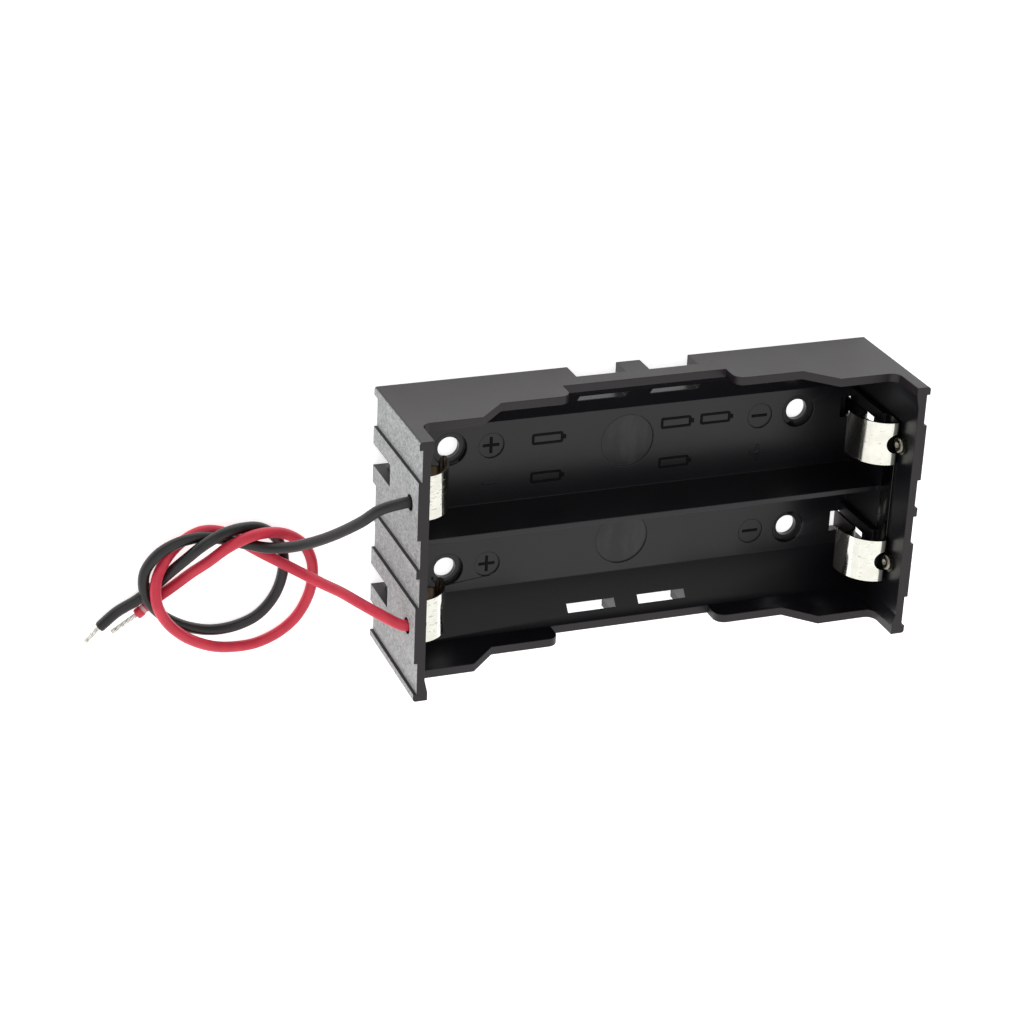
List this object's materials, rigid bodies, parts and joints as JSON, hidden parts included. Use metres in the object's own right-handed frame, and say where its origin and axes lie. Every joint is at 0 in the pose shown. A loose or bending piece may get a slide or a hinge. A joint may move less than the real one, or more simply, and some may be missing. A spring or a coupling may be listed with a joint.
{
  "type": "cylindrical cell holder",
  "caption": "Moulded two-bay holder for cylindrical cells with bowed leaf contacts at the bay ends and two soldered leads.",
  "frame": {"origin": "middle of the housing's back plane", "axes": "+X along the cells from the lead end to the linked end, +Y across the bays towards the black lead, +Z out of the open face"},
  "size_m": [0.1195, 0.0396, 0.0204],
  "materials": {
    "housing": "fine texture",
    "contact": "satin plated",
    "eyelet": "bright plated",
    "solder": "satin",
    "black_insulation": "satin",
    "red_insulation": "satin",
    "conductor": "tinned"
  },
  "bodies": {
    "root": {"holder_body": "housing", "negative_contact": "contact", "positive_contact": "contact", "link_contact": "contact", "negative_eyelet": "eyelet", "positive_eyelet": "eyelet", "link_eyelet_upper": "eyelet", "link_eyelet_lower": "eyelet", "negative_solder": "solder", "positive_solder": "solder", "black_core": "conductor", "red_core": "conductor", "black_wire": "black_insulation", "red_wire": "red_insulation", "black_wire_tip": "conductor", "red_wire_tip": "conductor"}
  },
  "joints": []
}
